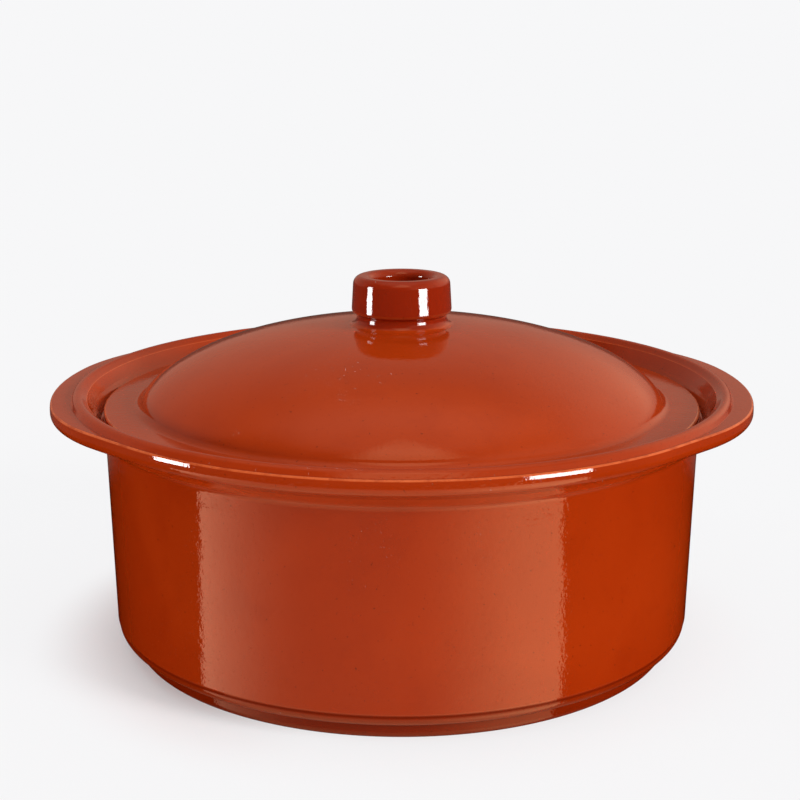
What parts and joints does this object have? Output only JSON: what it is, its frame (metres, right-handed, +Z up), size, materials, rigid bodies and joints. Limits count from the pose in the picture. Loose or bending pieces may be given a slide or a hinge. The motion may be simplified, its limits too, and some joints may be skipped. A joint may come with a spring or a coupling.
{
  "type": "clay casserole",
  "caption": "Round glazed clay cooking pot with straight walls, a wide flange with two ears, and a domed loose lid with a hollow knob.",
  "frame": {"origin": "centre of the foot ring's standing face, on the pot's axis", "axes": "+Z up along the pot's axis, +X through the middle of one ear, +Y across the ears"},
  "size_m": [0.331, 0.3152, 0.1752],
  "materials": {
    "glazed_clay_pot": "clear honey glaze over red-brown clay, glossy, with small pinholes and darker pooled glaze in corners",
    "glazed_clay_lid": "clear honey glaze over red-brown clay, glossy, a little paler than the pot on the dome"
  },
  "bodies": {
    "pot": {"pot": "glazed_clay_pot"},
    "lid": {"lid": "glazed_clay_lid"}
  },
  "joints": [
    {"name": "lid_lift", "type": "slide", "parent": "pot", "child": "lid", "axis": [0, 0, 1], "range_m": [0, 0.1]}
  ]
}
